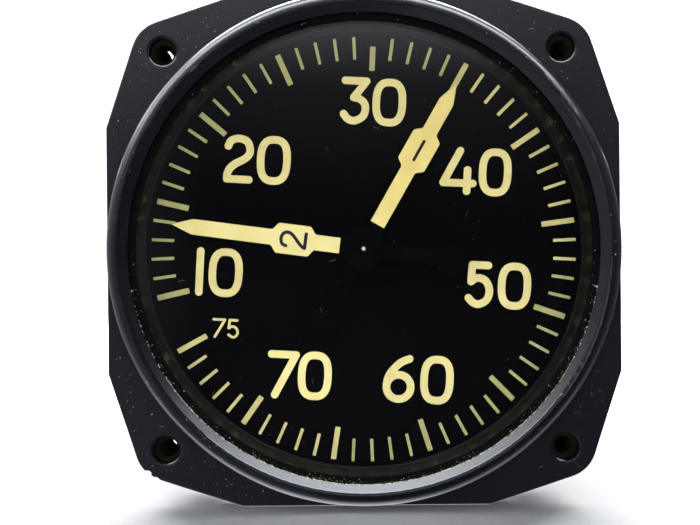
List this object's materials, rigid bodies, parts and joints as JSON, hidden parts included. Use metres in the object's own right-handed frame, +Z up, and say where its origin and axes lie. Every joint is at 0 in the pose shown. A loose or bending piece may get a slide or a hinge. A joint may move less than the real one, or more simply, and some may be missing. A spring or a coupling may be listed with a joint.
{
  "type": "manifold pressure indicator",
  "caption": "Round aircraft panel instrument on a cut-corner square flange, two pointers over a black dial behind flat glass, cylindrical rear case with a pin connector.",
  "frame": {"origin": "centre of the square screw-hole pattern, on the front (panel) face of the mounting flange", "axes": "+X to the right and +Z up as the dial is read; the dial faces -Y and the body runs back along +Y"},
  "size_m": [0.081, 0.1204, 0.081],
  "materials": {
    "black_phenolic": "satin moulded black phenolic, slightly bluish, dusty",
    "black_paint": "satin black paint on a cast aluminium can",
    "black_enamel": "semi-matt black enamel",
    "dial_black": "matt black dial paint with cream marks",
    "pointer_black": "matt black paint, cream paint on the blade",
    "cover_glass": "clear polished flat glass",
    "seal_rubber": "matt black rubber",
    "insert_brass": "dull darkened brass",
    "contact_brass": "bright drawn brass",
    "bare_aluminium": "machined aluminium",
    "connector_aluminium": "dull olive-grey plated aluminium",
    "core_steel": "stacked lamination steel with a varnish film",
    "winding_copper": "varnished enamelled copper wire",
    "bearing_steel": "ground steel",
    "brown_phenolic": "brown phenolic laminate",
    "lead_sleeve": "yellowish varnished cloth sleeving",
    "connector_insulator": "dark moulded insulator",
    "black_screw": "blackened steel"
  },
  "bodies": {
    "case": {"front_case": "black_phenolic", "mounting_inserts": "insert_brass", "glass_gasket": "seal_rubber", "cover_glass": "cover_glass", "spacer_ring": "black_enamel", "dial_plate": "dial_black", "mechanism_plate": "bare_aluminium", "front_synchro_front_bell": "bare_aluminium", "front_synchro_rear_bell": "bare_aluminium", "front_synchro_shell": "bare_aluminium", "front_synchro_stator_core": "core_steel", "front_synchro_stator_winding": "winding_copper", "front_synchro_brush_block": "brown_phenolic", "front_synchro_brushes": "contact_brass", "front_synchro_bearing_outer_rings": "bearing_steel", "rear_synchro_front_bell": "bare_aluminium", "rear_synchro_rear_bell": "bare_aluminium", "rear_synchro_shell": "bare_aluminium", "rear_synchro_stator_core": "core_steel", "rear_synchro_stator_winding": "winding_copper", "rear_synchro_brush_block": "brown_phenolic", "rear_synchro_brushes": "contact_brass", "rear_synchro_bearing_outer_rings": "bearing_steel", "tie_bolts": "bearing_steel", "tie_bolt_nuts": "contact_brass", "terminal_board": "brown_phenolic", "terminal_lugs": "contact_brass", "connector_leads": "lead_sleeve", "stator_leads": "lead_sleeve", "rear_case": "black_paint", "case_gasket": "seal_rubber", "case_screws": "black_screw", "connector_shell": "connector_aluminium", "connector_gasket": "seal_rubber", "connector_insert": "connector_insulator", "connector_pins": "contact_brass", "connector_screws": "bearing_steel"},
    "pointer_1_rotor": {"pointer_1": "pointer_black", "pointer_1_bush": "pointer_black", "hollow_shaft": "bearing_steel", "front_synchro_rotor_core": "core_steel", "front_synchro_rotor_winding": "winding_copper", "front_synchro_slip_ring_sleeve": "brown_phenolic", "front_synchro_slip_rings": "contact_brass", "front_synchro_bearing_inner_rings": "bearing_steel"},
    "pointer_2_rotor": {"pointer_2": "pointer_black", "pointer_2_bush": "pointer_black", "inner_shaft": "bearing_steel", "rear_synchro_rotor_core": "core_steel", "rear_synchro_rotor_winding": "winding_copper", "rear_synchro_slip_ring_sleeve": "brown_phenolic", "rear_synchro_slip_rings": "contact_brass", "rear_synchro_bearing_inner_rings": "bearing_steel"},
    "front_ball_sets": {"front_synchro_bearing_balls": "bearing_steel", "front_synchro_bearing_cages": "contact_brass"},
    "rear_ball_sets": {"rear_synchro_bearing_balls": "bearing_steel", "rear_synchro_bearing_cages": "contact_brass"}
  },
  "joints": [
    {"name": "pointer_1_turn", "type": "hinge", "parent": "case", "child": "pointer_1_rotor", "pos_m": [0, 0, 0], "axis": [0, 1, 0], "continuous": true},
    {"name": "pointer_2_turn", "type": "hinge", "parent": "case", "child": "pointer_2_rotor", "pos_m": [0, 0, 0], "axis": [0, 1, 0], "continuous": true},
    {"name": "front_ball_sets_turn", "type": "hinge", "parent": "case", "child": "front_ball_sets", "pos_m": [0, 0.009, 0], "axis": [0, 1, 0], "continuous": true},
    {"name": "rear_ball_sets_turn", "type": "hinge", "parent": "case", "child": "rear_ball_sets", "pos_m": [0, 0.045, 0], "axis": [0, 1, 0], "continuous": true}
  ],
  "couplings": [
    {"joint": "front_ball_sets_turn", "follows": "pointer_1_turn", "ratio": 0.409},
    {"joint": "rear_ball_sets_turn", "follows": "pointer_2_turn", "ratio": 0.375}
  ]
}
